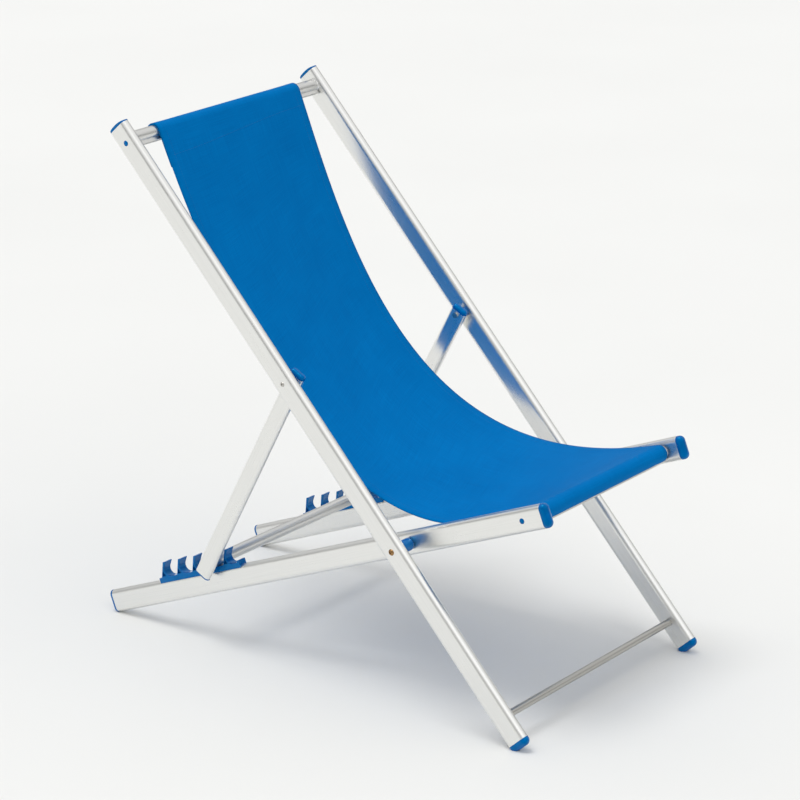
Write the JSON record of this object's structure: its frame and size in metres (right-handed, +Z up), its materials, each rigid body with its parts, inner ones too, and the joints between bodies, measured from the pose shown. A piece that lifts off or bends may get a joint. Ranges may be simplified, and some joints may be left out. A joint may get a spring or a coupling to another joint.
{
  "type": "folding deckchair",
  "caption": "Folding reclining beach deckchair: flat-oval aluminium rails, blue fabric sling, propped back that locks in a stepped ratchet.",
  "frame": {"origin": "on the floor, at the middle of the open chair's footprint", "axes": "+Z up, -Y the way the sitter faces, +X the sitter's left"},
  "size_m": [0.576, 1.0258, 1.0041],
  "materials": {
    "rail_aluminium": "satin",
    "tube_aluminium": "brushed",
    "bright_metal": "bright",
    "steel": "plain",
    "blue_plastic": "semi-gloss",
    "sling_fabric": "woven"
  },
  "bodies": {
    "seat_frame": {"seat_rail_left": "rail_aluminium", "seat_rail_right": "rail_aluminium", "front_bar": "tube_aluminium", "front_bar_end_plugs": "bright_metal", "front_bar_screws": "steel", "front_cover_buttons": "blue_plastic", "front_cap_left": "blue_plastic", "front_cap_right": "blue_plastic", "rear_cap_left": "blue_plastic", "rear_cap_right": "blue_plastic", "ratchet_left": "blue_plastic", "ratchet_right": "blue_plastic", "front_welt_rod": "blue_plastic"},
    "back_frame": {"back_rail_left": "rail_aluminium", "back_rail_right": "rail_aluminium", "top_bar": "tube_aluminium", "top_bar_end_plugs": "bright_metal", "top_bar_screws": "steel", "top_cover_buttons": "blue_plastic", "foot_bar": "tube_aluminium", "top_cap_left": "blue_plastic", "top_cap_right": "blue_plastic", "foot_cap_left": "blue_plastic", "foot_cap_right": "blue_plastic", "pivot_bolts": "steel", "pivot_washers": "steel", "pivot_nuts": "steel", "pivot_spacer_left": "blue_plastic", "pivot_spacer_right": "blue_plastic", "prop_rivets": "steel", "prop_spacers": "blue_plastic", "sling": "sling_fabric", "top_welt_rod": "blue_plastic"},
    "prop_frame": {"prop_leg_left": "rail_aluminium", "prop_leg_right": "rail_aluminium", "prop_bar": "tube_aluminium", "leg_top_cap_left": "blue_plastic", "leg_top_cap_right": "blue_plastic", "leg_end_cap_left": "blue_plastic", "leg_end_cap_right": "blue_plastic"}
  },
  "joints": [
    {"name": "fold", "type": "hinge", "parent": "seat_frame", "child": "back_frame", "pos_m": [0, -0.215, 0.3105], "axis": [1, 0, 0], "range_deg": [0, 105.75], "deforming": ["sling"]},
    {"name": "prop_fold", "type": "hinge", "parent": "back_frame", "child": "prop_frame", "pos_m": [0, 0.02846, 0.57433], "axis": [-1, 0, 0], "range_deg": [0, 63.5], "deforming": ["sling"]}
  ],
  "couplings": [
    {"joint": "prop_fold", "follows": "fold", "ratio": 0.6}
  ]
}
